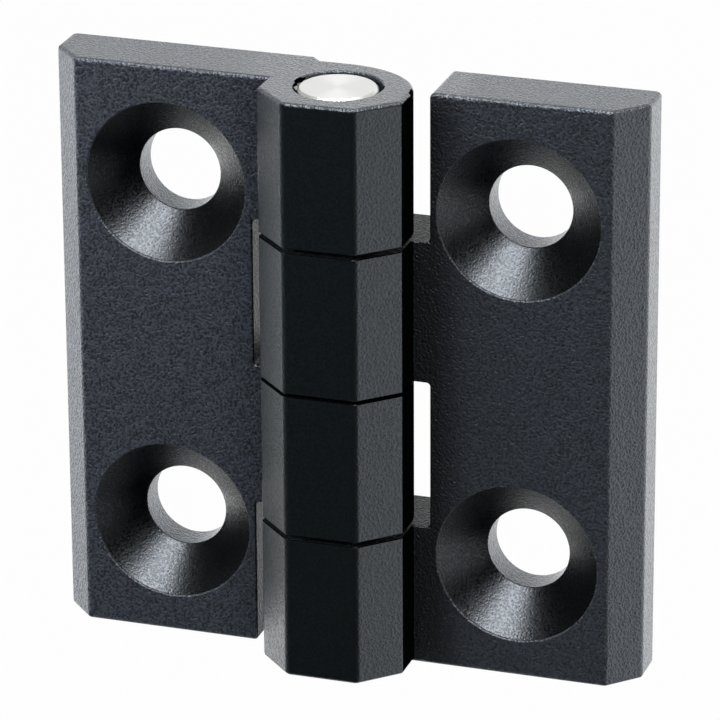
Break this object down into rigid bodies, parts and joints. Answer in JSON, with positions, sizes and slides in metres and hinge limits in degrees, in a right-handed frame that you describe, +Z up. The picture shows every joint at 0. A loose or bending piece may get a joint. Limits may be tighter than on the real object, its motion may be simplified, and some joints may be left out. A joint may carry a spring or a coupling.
{
  "type": "butt hinge",
  "caption": "Square black die-cast butt hinge: two flat leaves with countersunk screw holes, joined by half-octagon knuckles on a steel pin.",
  "frame": {"origin": "on the flat back of the frame leaf, midway between its two screw holes", "axes": "+X from the frame leaf across the pin to the door leaf, +Y out of the mounting faces at the back, +Z up along the pin"},
  "size_m": [0.0602, 0.0143, 0.06],
  "materials": {
    "coated_zinc": "fine-textured matt powder coat on die-cast zinc",
    "turned_steel": "bright turned stainless steel"
  },
  "bodies": {
    "frame_side": {"frame_leaf": "coated_zinc", "hinge_pin": "turned_steel"},
    "door_side": {"door_leaf": "coated_zinc"}
  },
  "joints": [
    {"name": "leaf_swing", "type": "hinge", "parent": "frame_side", "child": "door_side", "pos_m": [0.018, -0.00785, 0], "axis": [0, 0, -1], "range_deg": [-98, 180]}
  ]
}
